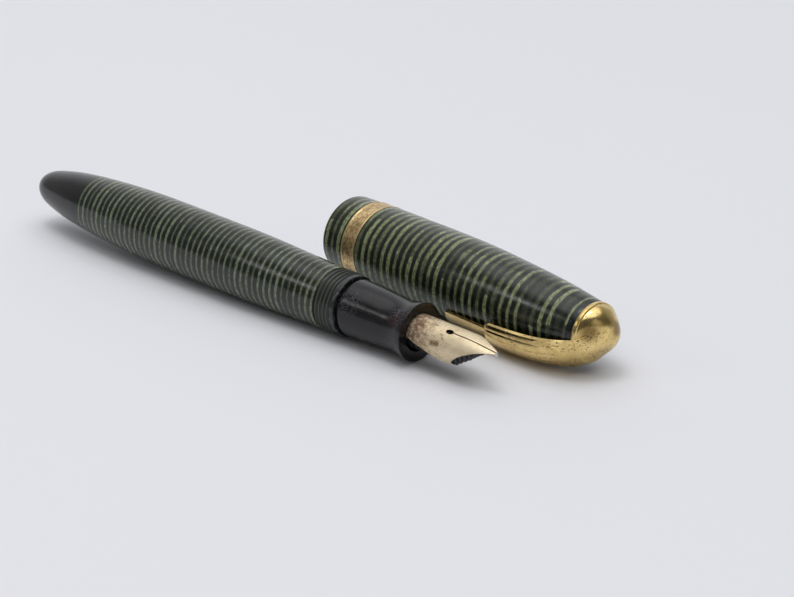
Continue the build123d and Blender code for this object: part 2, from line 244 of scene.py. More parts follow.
def soften(mesh, sharp):
    """Smooth shading, except over edges sharper than this many degrees."""
    mesh.shade_smooth()
    mesh.set_sharp_from_angle(angle=math.radians(sharp))


def piece(name, shape, place, body, material, nodes, sharp=38):
    """A mesh object from (points, faces) in millimetres in a local frame, riding on a body.

    A piece with no body is left unattached.
    """
    mesh = closed_mesh(name, shape, place)
    obj = bpy.data.objects.new(name, mesh)
    bpy.context.scene.collection.objects.link(obj)
    soften(mesh, sharp)
    mesh.materials.append(material)
    if body:
        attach(obj, body)
    if nodes:
        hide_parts(*nodes)
    return obj


def apply_modifiers(obj):
    graph = bpy.context.evaluated_depsgraph_get()
    mesh = bpy.data.meshes.new_from_object(obj.evaluated_get(graph))
    obj.modifiers.clear()
    obj.data = mesh


def cut(obj, shape, place):
    """Takes a closed shape away from an object."""
    tool = bpy.data.objects.new("cutter", closed_mesh("cutter", shape, place))
    bpy.context.scene.collection.objects.link(tool)
    step = obj.modifiers.new("cut", "BOOLEAN")
    step.operation = "DIFFERENCE"
    step.solver = "EXACT"
    step.object = tool
    apply_modifiers(obj)
    bpy.data.objects.remove(tool)


# ---- Material helpers ----
class Nodes:
    """A material under construction. Its positions are in millimetres in a local frame."""

    def __init__(self, name, place, **plain):
        self.material = bpy.data.materials.new(name)
        self.material.use_nodes = True
        self.tree = self.material.node_tree
        self.shader = self.tree.nodes["Principled BSDF"]
        for socket, value in plain.items():
            self.shader.inputs[socket.replace("_", " ")].default_value = value
        coordinates = self.add("ShaderNodeTexCoord")
        local = self.add("ShaderNodeMapping", vector_type="TEXTURE")
        self.join(local, coordinates.outputs["Object"], place.translation, place.to_euler(), (MM, MM, MM))
        self.place = local.outputs[0]

    def add(self, kind, **settings):
        node = self.tree.nodes.new(kind)
        for name, value in settings.items():
            setattr(node, name, value)
        return node

    def join(self, node, *inputs):
        """Feeds values or sockets to a node's inputs in order, and returns its first output."""
        for socket, value in zip(node.inputs, inputs):
            if isinstance(value, bpy.types.NodeSocket):
                self.tree.links.new(value, socket)
            elif value is not None:
                socket.default_value = value
        return node.outputs[0]

    def math(self, operation, *inputs, clamp=False):
        return self.join(self.add("ShaderNodeMath", operation=operation, use_clamp=clamp), *inputs)

    def split(self, vector):
        node = self.add("ShaderNodeSeparateXYZ")
        self.tree.links.new(vector, node.inputs[0])
        return node.outputs

    def combine(self, x, y, z):
        return self.join(self.add("ShaderNodeCombineXYZ"), x, y, z)

    def stretch(self, vector, scale, shift=(0, 0, 0)):
        node = self.add("ShaderNodeVectorMath", operation="MULTIPLY_ADD")
        return self.join(node, vector, scale, shift)

    def noise(self, vector, scale, detail=3.0, rough=0.5):
        node = self.add("ShaderNodeTexNoise")
        self.tree.links.new(vector, node.inputs["Vector"])
        node.inputs["Scale"].default_value = scale
        node.inputs["Detail"].default_value = detail
        node.inputs["Roughness"].default_value = rough
        return node.outputs[0]

    def cells(self, vector, scale, feature="F1"):
        node = self.add("ShaderNodeTexVoronoi", feature=feature)
        self.tree.links.new(vector, node.inputs["Vector"])
        node.inputs["Scale"].default_value = scale
        return node.outputs["Distance"]

    def distance(self, centre):
        """How far a point is from a centre, in millimetres."""
        node = self.add("ShaderNodeVectorMath", operation="DISTANCE")
        self.join(node, self.place, centre)
        return node.outputs["Value"]

    def sway(self, value, noise, amount):
        """A value pushed up and down by a noise that runs from 0 to 1."""
        return self.math("ADD", value, self.math("MULTIPLY", self.math("SUBTRACT", noise, 0.5), amount))

    def chance(self, value):
        """A random number for each value."""
        node = self.add("ShaderNodeTexWhiteNoise", noise_dimensions="1D")
        self.tree.links.new(value, node.inputs["W"])
        return node.outputs["Value"]

    def step(self, value, low, high, out_low=0.0, out_high=1.0):
        """A smooth step from out_low to out_high as value goes from low to high."""
        node = self.add("ShaderNodeMapRange", interpolation_type="SMOOTHSTEP")
        return self.join(node, value, low, high, out_low, out_high)

    def mix(self, share, a, b):
        """Blends two colours."""
        node = self.add("ShaderNodeMix", data_type="RGBA")
        for name, value in (("Factor", share), ("A", a), ("B", b)):
            socket = [s for s in node.inputs if s.name == name and s.enabled][0]
            if isinstance(value, bpy.types.NodeSocket):
                self.tree.links.new(value, socket)
            elif name == "Factor":
                socket.default_value = value
            else:
                socket.default_value = (*value, 1)
        return [s for s in node.outputs if s.enabled][0]

    def set(self, socket, value):
        self.tree.links.new(value, self.shader.inputs[socket])

    def bump(self, height, strength, depth):
        """Bump with a height of 1 standing depth millimetres proud."""
        node = self.add("ShaderNodeBump")
        node.inputs["Strength"].default_value = strength
        node.inputs["Distance"].default_value = depth * MM
        self.tree.links.new(height, node.inputs["Height"])
        self.tree.links.new(node.outputs[0], self.shader.inputs["Normal"])


def laminate(name, place, pitch, phase, width, ends, broken, green, pale, quiet=None, thread=None):
    """Black celluloid with a thin green ring every pitch, uneven in width and brightness.

    ends are where the rings start and stop, broken is how much their strips differ, and quiet is where
    they grow fainter towards the crown. thread is where bare black ridges replace them, their crests painted
    lighter as a highlight, with a plain collar beyond it.
    """
    n = Nodes(name, place, IOR=1.5)
    x, y, z = n.split(n.place)
    angle = n.math("ARCTAN2", y, z)
    fine = n.noise(n.stretch(n.place, (0.25, 0.5, 0.5)), 1.0, 2.0)
    turn = n.math("DIVIDE", n.math("SUBTRACT", x, phase), pitch)
    turn = n.sway(turn, fine, 0.22)
    index = n.math("FLOOR", n.math("ADD", turn, 0.5))
    off = n.math("ABSOLUTE", n.math("SUBTRACT", turn, index))
    luck = n.chance(index)
    # Each ring is made of strips of chance lengths, some bright and some nearly black
    around = n.math("MULTIPLY_ADD", angle, 0.62, n.math("MULTIPLY", luck, 5.0))
    around = n.math("ADD", around, n.math("MULTIPLY", fine, 0.5))
    strip = n.math("FLOOR", around)
    strip_luck = n.chance(n.math("MULTIPLY_ADD", index, 7.31, strip))
    apart = n.combine(n.math("MULTIPLY", index, 7.31), y, z)
    patch = n.noise(n.stretch(apart, (1, 0.3, 0.3)), 1.0, 3.0, 0.6)
    grain = n.noise(n.stretch(n.place, (2.4, 1.6, 1.6)), 1.0, 4.0, 0.7)
    half = n.math("MULTIPLY_ADD", luck, 0.35 * width, 0.6 * width)
    half = n.math("MULTIPLY", half, n.math("MULTIPLY_ADD", patch, 0.7, 0.66))
    edge = n.math("SUBTRACT", off, half)
    ring = n.step(edge, -0.06, 0.06, 1.0, 0.0)
    uneven = n.math("MULTIPLY_ADD", strip_luck, 0.6, n.math("MULTIPLY", patch, 0.8))
    strength = n.step(uneven, 0.3, 0.85, 1.0 - broken, 1.0)
    strength = n.math("MULTIPLY", strength, n.math("MULTIPLY_ADD", luck, 0.3, 0.75))
    strength = n.math("MULTIPLY", strength, n.math("MULTIPLY_ADD", grain, 0.8, 0.6))
    if quiet:
        faint = n.step(x, quiet[0], quiet[1])
        spared = n.step(strip_luck, 0.5, 0.7, 0.68, 0.0)
        strength = n.math("MULTIPLY", strength, n.math("SUBTRACT", 1.0, n.math("MULTIPLY", faint, spared)))
    share = n.math("MULTIPLY", ring, strength, clamp=True)
    glow = n.math("MULTIPLY", n.step(edge, -0.02, 0.26, 0.2, 0.0), patch)
    share = n.math("MAXIMUM", share, glow)
    before_end = n.step(x, ends[1] - 0.1, ends[1], 1.0, 0.0)
    share = n.math("MULTIPLY", share, n.math("MULTIPLY", n.step(x, ends[0], ends[0] + 0.1), before_end))
    tint = n.mix(n.step(grain, 0.38, 0.68), green, pale)
    colour = n.mix(share, BLACK, tint)
    scratch = n.noise(n.stretch(n.place, (0.5, 2.5, 2.5)), 1.0, 6.0, 0.7)
    roughness = n.step(scratch, 0.35, 0.8, 0.16, 0.34)
    if thread:
        radius = n.math("SQRT", n.math("ADD", n.math("MULTIPLY", y, y), n.math("MULTIPLY", z, z)))
        within = n.step(x, thread[0] - 0.05, thread[0] + 0.15)
        # Thread crests lighter than the near-black roots: a painted highlight along the crests
        crest_highlight = n.step(radius, THREAD_ROOT + 0.17, THREAD_ROOT + THREAD_DEPTH)
        crest_highlight = n.math("MULTIPLY", crest_highlight, n.step(x, thread[1], thread[1] + 0.05, 1.0, 0.0))
        colour = n.mix(within, colour, n.mix(crest_highlight, (0.01, 0.012, 0.009), (0.085, 0.095, 0.062)))
        scuff = n.noise(n.stretch(n.place, (3.0, 1.1, 1.1)), 1.0, 5.0, 0.75)
        collar = n.math("MULTIPLY", n.step(x, thread[1], thread[1] + 0.1), n.step(scuff, 0.5, 0.7))
        colour = n.mix(collar, colour, (0.13, 0.13, 0.16))
        roughness = n.math("ADD", roughness, n.math("MULTIPLY", within, 0.16))
    n.set("Base Color", colour)
    n.set("Roughness", roughness)
    n.bump(n.math("MULTIPLY_ADD", grain, 0.35, n.math("MULTIPLY", ring, 0.5)), 0.3, 0.015)
    return n.material


def black_resin(name, place, rough=0.14, scuffs=0.5, stain=None, index=1.52, bruises=()):
    """Black hard rubber, polished, with fine scratches and a few scuffed spots.

    stain is a centre, a reach and a tone. bruises are the centres and reaches of patches crossed by fine
    broken cracks.
    """
    n = Nodes(name, place, IOR=index)
    cloud = n.noise(n.place, 0.35, 3.0)
    speck = n.noise(n.place, 4.0, 5.0, 0.75)
    scratch = n.noise(n.stretch(n.place, (0.6, 5.0, 5.0)), 1.0, 4.0, 0.7)
    worn = n.math("MULTIPLY", n.step(speck, 0.6, 0.72), scuffs)
    colour = n.mix(n.step(cloud, 0.3, 0.8), (0.006, 0.006, 0.007), (0.013, 0.012, 0.013))
    colour = n.mix(worn, colour, (0.07, 0.07, 0.08))
    if stain:
        centre, reach, tone = stain
        spot = n.step(n.distance(centre), reach * 0.3, reach, 0.6, 0.0)
        colour = n.mix(n.math("MULTIPLY", spot, n.step(speck, 0.42, 0.6)), colour, tone)
    for centre, reach in bruises:
        ragged = n.sway(n.distance(centre), speck, 3.0)
        crazed = n.cells(n.stretch(n.place, (0.9, 1.7, 1.7)), 1.0, "DISTANCE_TO_EDGE")
        crack = n.math("MULTIPLY", n.step(crazed, 0.0, 0.07, 1.0, 0.0), n.step(speck, 0.46, 0.56))
        crack = n.math("MULTIPLY", crack, n.step(ragged, reach * 0.4, reach, 1.0, 0.0))
        colour = n.mix(crack, colour, (0.13, 0.13, 0.16))
        worn = n.math("MAXIMUM", worn, crack)
    n.set("Base Color", colour)
    polish = n.step(scratch, 0.4, 0.8, rough, rough + 0.18)
    n.set("Roughness", n.math("ADD", polish, n.math("MULTIPLY", worn, 0.3)))
    n.bump(n.math("ADD", n.math("MULTIPLY", scratch, 0.5), n.math("MULTIPLY", worn, -0.8)), 0.35, 0.03)
    return n.material


def worn_gold(name, place, bright, dull, rough, pits, brushed=(1, 1, 1), stain=None, dark_reflections=(), metal=1.0):
    """Gold plate worn by handling: cloudy colour, fine scratches, clusters of small dark pits.

    stain is where the ink on a nib starts to fade, where it ends and its tone, and darkens the slit and the
    breather hole too. The patches given after it, as centres and reaches, are brown patches of painted dark
    reflection.
    """
    n = Nodes(name, place, Metallic=metal)
    cloud = n.noise(n.place, 0.5, 4.0, 0.6)
    fine = n.noise(n.stretch(n.place, brushed), 6.0, 4.0, 0.65)
    speck = n.step(n.noise(n.stretch(n.place, (0.8, 1.4, 1.4)), 2.6, 2.0, 0.6), 0.59, 0.64)
    cluster = n.step(n.noise(n.stretch(n.place, (1, 1, 1), (7, 3, 5)), 0.3, 2.0), 0.38, 0.56)
    pit = n.math("MULTIPLY", n.math("MULTIPLY", speck, cluster), pits)
    colour = n.mix(n.step(cloud, 0.3, 0.72), bright, dull)
    colour = n.mix(n.math("MULTIPLY", n.step(fine, 0.5, 0.8), 0.3), colour, dull)
    # Brown patches of painted dark reflection
    for centre, reach in dark_reflections:
        ragged = n.sway(n.sway(n.distance(centre), cloud, 2.0), fine, 1.0)
        colour = n.mix(n.step(ragged, reach * 0.3, reach, 0.8, 0.0), colour, (0.17, 0.1, 0.03))
    colour = n.mix(pit, colour, (0.05, 0.03, 0.012))
    roughness = n.sway(n.step(cloud, 0.25, 0.8, rough - 0.06, rough + 0.08), fine, 0.2)
    height = n.math("SUBTRACT", n.math("MULTIPLY", fine, 0.25), pit)
    if stain:
        start, end, tone = stain
        x, y = n.split(n.place)[:2]
        streak = n.noise(n.stretch(n.place, (0.28, 1.5, 1.5)), 1.0, 5.0, 0.7)
        blotch = n.noise(n.place, 1.5, 5.0, 0.75)
        area = n.step(n.sway(x, streak, 9.0), start, end, 1.0, 0.0)
        mottled = n.math("MULTIPLY", area, n.step(blotch, 0.36, 0.58, 0.15, 0.9))
        colour = n.mix(mottled, colour, tone)
        crack = n.cells(n.stretch(n.place, (0.5, 1.2, 1.2), (3, 0, 0)), 1.0, "DISTANCE_TO_EDGE")
        line = n.math("MULTIPLY", n.step(crack, 0.0, 0.045, 0.8, 0.0), n.step(blotch, 0.45, 0.6))
        line = n.math("MULTIPLY", line, n.step(x, end + 1.0, end + 6.0, 1.0, 0.0))
        colour = n.mix(line, colour, (0.04, 0.025, 0.015))
        roughness = n.math("ADD", roughness, n.math("MULTIPLY", mottled, 0.22))
        height = n.math("SUBTRACT", height, n.math("MULTIPLY", mottled, 0.4))
        from_slit = n.step(n.math("ABSOLUTE", y), SLIT / 2 + 0.005, SLIT / 2 + 0.04, 1.0, 0.0)
        from_slit = n.math("MULTIPLY", from_slit, n.step(x, BREATHER_X, BREATHER_X + 0.2))
        flat = n.combine(n.math("DIVIDE", n.math("SUBTRACT", x, BREATHER_X), BREATHER_LONG),
                         n.math("DIVIDE", y, BREATHER_WIDE), 0.0)
        reach = n.add("ShaderNodeVectorMath", operation="LENGTH")
        n.join(reach, flat)
        from_hole = n.step(reach.outputs["Value"], 1.01, 1.09, 1.0, 0.0)
        colour = n.mix(n.math("MAXIMUM", from_slit, from_hole), colour, (0.01, 0.008, 0.006))
    n.set("Base Color", colour)
    n.set("Roughness", roughness)
    n.bump(height, 0.5, 0.05)
    return n.material


def engraved_gold(name, place, bright, dull):
    """A band rough with a fine worn pattern of lines, with dirt in its hollows."""
    n = Nodes(name, place, Metallic=1.0)
    x, y, z = n.split(n.place)
    angle = n.math("ARCTAN2", y, z)
    wrapped = n.combine(x, n.math("MULTIPLY", angle, BAND_R), 0.0)
    lines = n.cells(n.stretch(wrapped, (1.5, 0.9, 1)), 1.0, "DISTANCE_TO_EDGE")
    groove = n.step(lines, 0.02, 0.16, 1.0, 0.0)
    fine = n.noise(n.place, 5.0, 5.0, 0.7)
    cloud = n.noise(n.place, 0.5, 3.0)
    edge = n.math("MAXIMUM", n.step(x, BAND_START + 0.3, BAND_START + 0.42, 1.0, 0.0),
                  n.step(x, BAND_END - 0.42, BAND_END - 0.3))
    dirt = n.math("MULTIPLY", n.math("MULTIPLY", groove, n.math("SUBTRACT", 1.0, edge)), 0.55)
    colour = n.mix(n.step(cloud, 0.3, 0.7), bright, dull)
    colour = n.mix(n.math("MULTIPLY", n.step(fine, 0.45, 0.75), 0.6), colour, dull)
    colour = n.mix(dirt, colour, (0.12, 0.07, 0.03))
    n.set("Base Color", colour)
    n.set("Roughness", n.math("MULTIPLY_ADD", fine, 0.35, 0.16))
    n.bump(n.math("SUBTRACT", n.math("MULTIPLY", fine, 0.5), n.math("MULTIPLY", dirt, 1.2)), 0.6, 0.06)
    return n.material


def plain_metal(name, place, colour, rough, grain=(1, 1, 1)):
    """A turned or rolled metal with fine tool marks."""
    n = Nodes(name, place, Metallic=1.0)
    marks = n.noise(n.stretch(n.place, grain), 3.0, 4.0, 0.6)
    dark = tuple(c * 0.6 for c in colour)
    n.set("Base Color", n.mix(n.step(marks, 0.35, 0.75), colour, dark))
    n.set("Roughness", n.step(marks, 0.3, 0.8, rough, rough + 0.2))
    n.bump(marks, 0.3, 0.02)
    return n.material


def matt_rubber(name, place, colour, rough):
    n = Nodes(name, place)
    speck = n.noise(n.place, 3.0, 5.0, 0.7)
    pale = tuple(c * 2.2 + 0.01 for c in colour)
    n.set("Base Color", n.mix(n.step(speck, 0.45, 0.8), colour, pale))
    n.set("Roughness", n.step(speck, 0.3, 0.8, rough, rough + 0.2))
    n.bump(speck, 0.4, 0.03)
    return n.material


# ---- Finishes ----
BLACK = (0.006, 0.008, 0.006)
GOLD = (0.84, 0.65, 0.29)
DULL_GOLD = (0.6, 0.43, 0.15)
BRASS = (0.72, 0.55, 0.28)

barrel_laminate = laminate("barrel_laminate", PEN, BARREL_PITCH, BARREL_PHASE, 0.23, (-64.75, -4.5), 0.45,
                           (0.1, 0.125, 0.065), (0.22, 0.25, 0.16), thread=(THREAD_START, THREAD_END))
cap_laminate = laminate("cap_laminate", CAP, CAP_PITCH, CAP_PHASE, 0.27, (-1.0, 56.6), 0.75,
                        (0.15, 0.175, 0.075), (0.33, 0.38, 0.2), quiet=(33.0, 47.0))
polished_black = black_resin("polished_black", PEN, scuffs=0.12)
inner_black = black_resin("inner_black", CAP, rough=0.3, scuffs=0.1)
section_black = black_resin("section_black", PEN, rough=0.17, scuffs=0.9, index=1.42,
                            stain=((12.3, -3.4, 2.6), 2.2, (0.06, 0.01, 0.01)),
                            bruises=(((2.2, -3.9, 2.7), 3.2), ((12.8, -3.2, 3.6), 2.8),
                                     ((1.4, 3.0, 3.7), 3.0)))
# Painted dark reflection on the crown, in brown patches: centres and reaches
PAINTED_DARK_REFLECTIONS = (((59.9, 3.0, 1.5), 2.3), ((61.4, -0.3, -2.2), 1.9))
dome_gold = worn_gold("dome_gold", CAP, GOLD, DULL_GOLD, rough=0.19, pits=0.35, dark_reflections=PAINTED_DARK_REFLECTIONS)
# The clip's gold is a lighter copy of the crown's, painted lighter for the bright floor it reflects
clip_gold = worn_gold("clip_gold", CAP, (0.9, 0.69, 0.31), (0.72, 0.52, 0.2), rough=0.17, pits=0.9,
                      brushed=(0.3, 1, 1), dark_reflections=PAINTED_DARK_REFLECTIONS[:1])
# The nib's two brown patches near its base are painted dark reflection
nib_gold = worn_gold("nib_gold", NIB, (0.82, 0.7, 0.48), (0.73, 0.58, 0.37), rough=0.48, pits=0.3,
                     brushed=(0.4, 1, 1), stain=(15.5, 20.5, (0.2, 0.1, 0.06)),
                     dark_reflections=(((19.5, -2.4, 2.0), 0.9), ((20.6, -2.35, 2.05), 0.75)), metal=0.6)
band_gold = engraved_gold("band_gold", CAP, (0.86, 0.65, 0.34), (0.62, 0.43, 0.2))
feed_black = matt_rubber("feed_black", PEN, (0.012, 0.012, 0.013), 0.42)
sac_rubber = matt_rubber("sac_rubber", PEN, (0.02, 0.018, 0.017), 0.6)
pen_brass = plain_metal("pen_brass", PEN, BRASS, 0.25, (8, 0.5, 0.5))
cap_brass = plain_metal("cap_brass", CAP, BRASS, 0.25, (8, 0.5, 0.5))
spring_steel = plain_metal("spring_steel", PEN, (0.55, 0.55, 0.57), 0.25, (0.3, 4, 4))
white_metal = plain_metal("white_metal", NIB, (0.75, 0.73, 0.7), 0.2)


# ---- Pen ----
BARREL_TAIL = -66.38
BARREL_BORE_R = 4.5
NIPPLE_BORE_R = 4.01
BLIND_CAP_LIP = -66.42
BLIND_CAP_END = -80.4
SECTION_FRONT = 14.4
BARREL_OUTER = [(BARREL_TAIL, 5.09), (-63.4, 5.34), (-58.0, 5.7), (-52.0, 5.95), (-46.0, 6.035),
                (-38.0, 6.045), (-30.0, 6.035), (-21.5, 5.93), (-13.0, 5.62), (-4.6, 5.34)]
BLIND_CAP_OUTER = [(BLIND_CAP_LIP, 5.07), (-70.5, 4.62), (-75.0, 3.82), (-78.4, 2.75), (-80.0, 1.45),
                   (-80.32, 0.75), (BLIND_CAP_END, 0)]
SECTION_WAIST = [(14.3, 4.97), (13.6, 4.86), (12.6, 4.62), (11.2, 4.4), (8.4, 4.46), (4.6, 4.72), (0.9, 4.86)]


def thread_ripple(x, r, angles):
    """Radius of a screw thread round the barrel, fading out at its ends."""
    if not THREAD_START <= x <= THREAD_END or r < THREAD_ROOT - 0.01:
        return np.full(len(angles), r)
    phase = (x - THREAD_START) / THREAD_PITCH - angles / (2 * math.pi)
    tooth = (0.5 + 0.5 * np.cos(2 * math.pi * phase)) ** 2.2
    fade = min(1, (x - THREAD_START) / 0.15, (THREAD_END - x) / 0.3)
    return r + THREAD_DEPTH * tooth * max(fade, 0)


def barrel():
    thread = [(x, THREAD_ROOT) for x in np.arange(THREAD_START + 0.05, THREAD_END, 0.05)]
    lead = eased([(THREAD_END + 0.02, THREAD_ROOT), (THREAD_END + 0.1, 5.18), (-0.02, 5.17), (0, 4.6),
                  (-0.1, BARREL_BORE_R)], 0.08)
    bore = [(-20, BARREL_BORE_R), (-40, BARREL_BORE_R), (-59.95, BARREL_BORE_R), (-60, NIPPLE_BORE_R),
            (-66.3, NIPPLE_BORE_R), (BARREL_TAIL, 4.1), (BARREL_TAIL, 4.9)]
    outline = [(BARREL_TAIL, 5.02)] + smooth(BARREL_OUTER, 110) + thread + lead + bore
    return piece("barrel_shell", turned(outline, thread_ripple), PEN, "pen", barrel_laminate,
                 ["barrel"])


def blind_cap():
    nose = smooth(BLIND_CAP_OUTER, 70)
    inner = [(-76.0, 0), (-76.0, 1.6), (-74.6, 2.7), (-71.6, 2.9), (-71.6, 3.75), (-66.5, 3.75),
             (-66.43, 3.85), (BLIND_CAP_LIP, 4.9)]
    outline = [(BLIND_CAP_END, 0)] + nose[::-1][1:] + [(BLIND_CAP_LIP, 4.98)] + inner[::-1]
    return piece("blind_cap_shell", turned(outline), PEN, "blind_cap", polished_black,
                 ["blind_cap"])


def section():
    bore = [(0.5, 1.97), (0.5, 3.16), (14.2, 3.16), (14.38, 3.25), (SECTION_FRONT, 3.4), (SECTION_FRONT, 4.6)]
    lip = eased([(SECTION_FRONT, 4.6), (SECTION_FRONT, 4.96), (14.3, 4.97)], 0.08)
    tenon = [(0.5, 4.74), (0.36, 4.6), (0.35, 4.48), (-9.0, 4.48), (-9.0, 2.88), (-17.0, 2.88), (-17.0, 1.8),
             (-12.9, 1.8), (-12.9, 1.97)]
    outline = bore + lip + smooth(SECTION_WAIST, 60) + tenon
    return piece("section_shell", turned(outline), PEN, "pen", section_black, ["section"])


# Nib: x with the radius of its top, then x with the half angle that its sheet wraps, in degrees
NIB_TOP = [(1.0, 3.12), (10.0, 3.12), (18.0, 3.12), (24.0, 3.1), (26.4, 3.02), (28.2, 2.8), (31.1, 2.37)]
NIB_WRAP = [(1.0, 64), (14.4, 66), (15.6, 72), (17.2, 81), (19.1, 94), (20.6, 102.5), (21.8, 106),
            (22.9, 107.5)]
NIB_TINE = [(22.9, 107.5), (23.2, 100), (23.6, 90), (24.2, 77.5), (25.0, 65.5), (25.8, 56), (26.5, 49),
            (27.4, 39.5), (28.5, 30), (29.6, 21), (30.5, 13), (31.1, 6.5)]


def nib():
    """The nib: a rolled sheet drawn to a point, with its slit from the breather hole to the tip."""
    back = np.array(smooth(NIB_WRAP, 60))
    front = np.array(smooth(NIB_TINE, 110))[1:]
    stations = np.vstack([back, front])
    radius = along(NIB_TOP, stations[:, 0])[0]
    share = np.linspace(0, 1, 49)
    rings = []
    for (x, wrap), r in zip(stations, radius):
        thin = NIB_THICK * (1 - 0.25 * max(0, (x - 24) / 7))
        rim = math.radians(wrap)
        soft = min(0.06 / r, rim * 0.05)
        gap = np.interp(x, [BREATHER_X, NIB_TIP], [SLIT / 2, SLIT / 4]) / r
        side = gap + share * (rim - soft - gap)
        angles = np.concatenate([-side[::-1], side])
        outer = [(x, r * math.sin(a), r * math.cos(a)) for a in angles]
        inner = [(x, (r - thin) * math.sin(a), (r - thin) * math.cos(a)) for a in angles[::-1]]
        middle = [(x, s * (r - thin / 2) * math.sin(rim), (r - thin / 2) * math.cos(rim)) for s in (1, -1)]
        rings.append(outer + [middle[0]] + inner + [middle[1]])
    points, faces = skin(rings)
    count = len(rings[0])
    half = 2 * len(share)
    # Points on the slit's two lips: outer and inner on one side, then on the other
    left, left_in = len(share) - 1, count - 1 - len(share)
    right, right_in = left + 1, left_in - 1
    first = int(np.searchsorted(stations[:, 0], BREATHER_X))
    for k in range(first, len(rings) - 1):
        here, after = k * count, (k + 1) * count
        faces[k * count + left] = (here + left, after + left, after + left_in, here + left_in)
        faces[k * count + right_in] = (here + right, here + right_in, after + right_in, after + right)
    faces.append(tuple(first * count + i for i in (left, right, right_in, left_in)))
    last = (len(rings) - 1) * count
    for start in (0, last):
        for i in range(half - 1):
            if (start, i) != (last, left):
                faces.append((start + i, start + i + 1, start + count - 3 - i, start + count - 2 - i))
        faces.append((start + half - 1, start + half, start + half + 1))
        faces.append((start, start + count - 2, start + count - 1))
    obj = piece("nib_blade", (points, faces), NIB, "pen", nib_gold, ["nib"], sharp=50)
    cut(obj, drill(BREATHER_X, BREATHER_LONG, BREATHER_WIDE, 1.5, 4.5, 48), NIB)
    soften(obj.data, 40)
    return obj


# Feed in the nib's frame: x, the height of its underside where it rises to the tines, and its half width
FEED_FRONT = [(19.0, -2.6, 2.75), (22.0, -2.1, 2.7), (23.5, -1.4, 2.55), (24.5, -0.8, 2.3),
              (25.5, -0.2, 2.03), (27.0, 0.65, 1.6), (28.6, 1.75, 1.1), (29.3, 2.0, 0.85)]
FEED_FINS = (15.2, 27.6)
FIN_PITCH = 0.9
FIN_DEPTH = 0.28


def feed():
    """The ink feed: a round stem, then a comb of fins under the nib that rises to its point."""
    stations = [(-12.8, 1.9), (-12.6, 1.96), (0.3, 1.96), (0.5, 2.3), (0.6, 2.6), (15.0, 2.66)]
    slots = set()
    for x in np.arange(*FEED_FINS, FIN_PITCH):
        stations += [(x, 2.7), (x + 0.03, 2.38), (x + 0.3, 2.38), (x + 0.33, 2.7), (x + 0.6, 2.72)]
        slots.update(stations[-4:-2])
    stations += [(27.9, 2.3), (28.6, 2.2), (29.2, 2.1)]
    angles = np.arange(96) * 2 * math.pi / 96
    inner = along(NIB_TOP, np.array([s[0] for s in stations]))[0] - NIB_THICK - 0.05
    rings = []
    for (x, r), limit in zip(stations, inner):
        r = min(r, float(limit))
        under, half = (float(v) for v in along(FEED_FRONT, x)) if x > FEED_FRONT[0][0] else (-r, r)
        if (x, r) in slots:
            under, half = under + FIN_DEPTH, half - FIN_DEPTH
        under = min(under, r * 0.96)
        rings.append([(x, np.clip(r * math.sin(a), -half, half), max(r * math.cos(a), under))
                      for a in angles])
    points, faces = skin([[(-12.8, 0, 0)]] + rings + [[(29.2, 0, rings[-1][0][2] - 0.02)]])
    return piece("feed_comb", (points, faces), NIB, "pen", feed_black, ["feed"], sharp=30)


def nib_pellet():
    """The writing point: a small ground bead, split by the slit."""
    profile = [(30.78, 0), (30.8, 0.16), (30.9, 0.28), (31.05, 0.33), (31.2, 0.31), (31.32, 0.2), (31.36, 0)]
    profile = smooth(profile, 24)
    profile[0], profile[-1] = (profile[0][0], 0), (profile[-1][0], 0)
    points, faces = turned(profile)
    points = [(p[0], p[1], p[2] + 2.13) for p in points]
    obj = piece("nib_bead", (points, faces), NIB, "pen", white_metal, ["nib_pellet"])
    narrow = SLIT / 4
    blade = [[(30, narrow, 0), (30, -narrow, 0), (30, -narrow, 5), (30, narrow, 5)],
             [(32, narrow, 0), (32, -narrow, 0), (32, -narrow, 5), (32, narrow, 5)]]
    points, faces = skin(blade)
    cut(obj, (points, faces + [(0, 1, 2, 3), (4, 5, 6, 7)]), NIB)
    soften(obj.data, 40)
    return obj


# ---- Filling mechanism, inside the barrel ----
SAC_R = 3.3
SAC_INNER_R = 2.9
SAC_FRONT = -9.4
SAC_NECK = -17.5        # where the sac's neck ends and its body begins
SPRING_ENDS = (-59.9, -10.6)
SPRING_JOIN = -36.5
SPRING_LOW = 3.75
SPRING_HIGH = 4.0
SPRING_HALF = 1.2
RIVETS = (-23.0, -27.0)
RIVET_R = 0.61


def ink_sac():
    """The rubber sac: its neck is stretched over the section, and a round body runs on behind it."""
    neck = [(SAC_FRONT, SAC_INNER_R), (SAC_FRONT, SAC_R), (SAC_NECK, SAC_R), (SAC_NECK, SAC_INNER_R)]
    piece("ink_sac_neck", turned(eased(neck, 0.06)), PEN, "pen", sac_rubber, ["ink_sac"])
    inner_end = smooth([(-56.1, 0), (-55.15, 2.0), (-53.2, SAC_INNER_R)], 16)
    outer_end = smooth([(-53.2, SAC_R), (-55.5, 2.4), (-56.5, 0)], 16)
    outline = inner_end + [(SAC_NECK - 0.02, SAC_INNER_R), (SAC_NECK - 0.02, SAC_R)] + outer_end
    obj = piece("ink_sac_body", turned(outline), PEN, "pen", sac_rubber, ["ink_sac"])
    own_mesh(obj)


def leaf(start, end):
    """A flat steel strip with softened edges, in slices 0.35 mm long."""
    soft, half, low, high = 0.04, SPRING_HALF, SPRING_LOW, SPRING_HIGH
    edge = [(-half, low + soft), (-half + soft, low), (half - soft, low), (half, low + soft),
            (half, high - soft), (half - soft, high), (-half + soft, high), (-half, high - soft)]
    rings = [[(x, y, z) for y, z in edge] for x in np.arange(start, end + 0.01, 0.35)]
    points, faces = skin(rings)
    count = len(edge)
    faces += [tuple(range(count)), tuple(range(len(points) - count, len(points)))]
    return points, faces


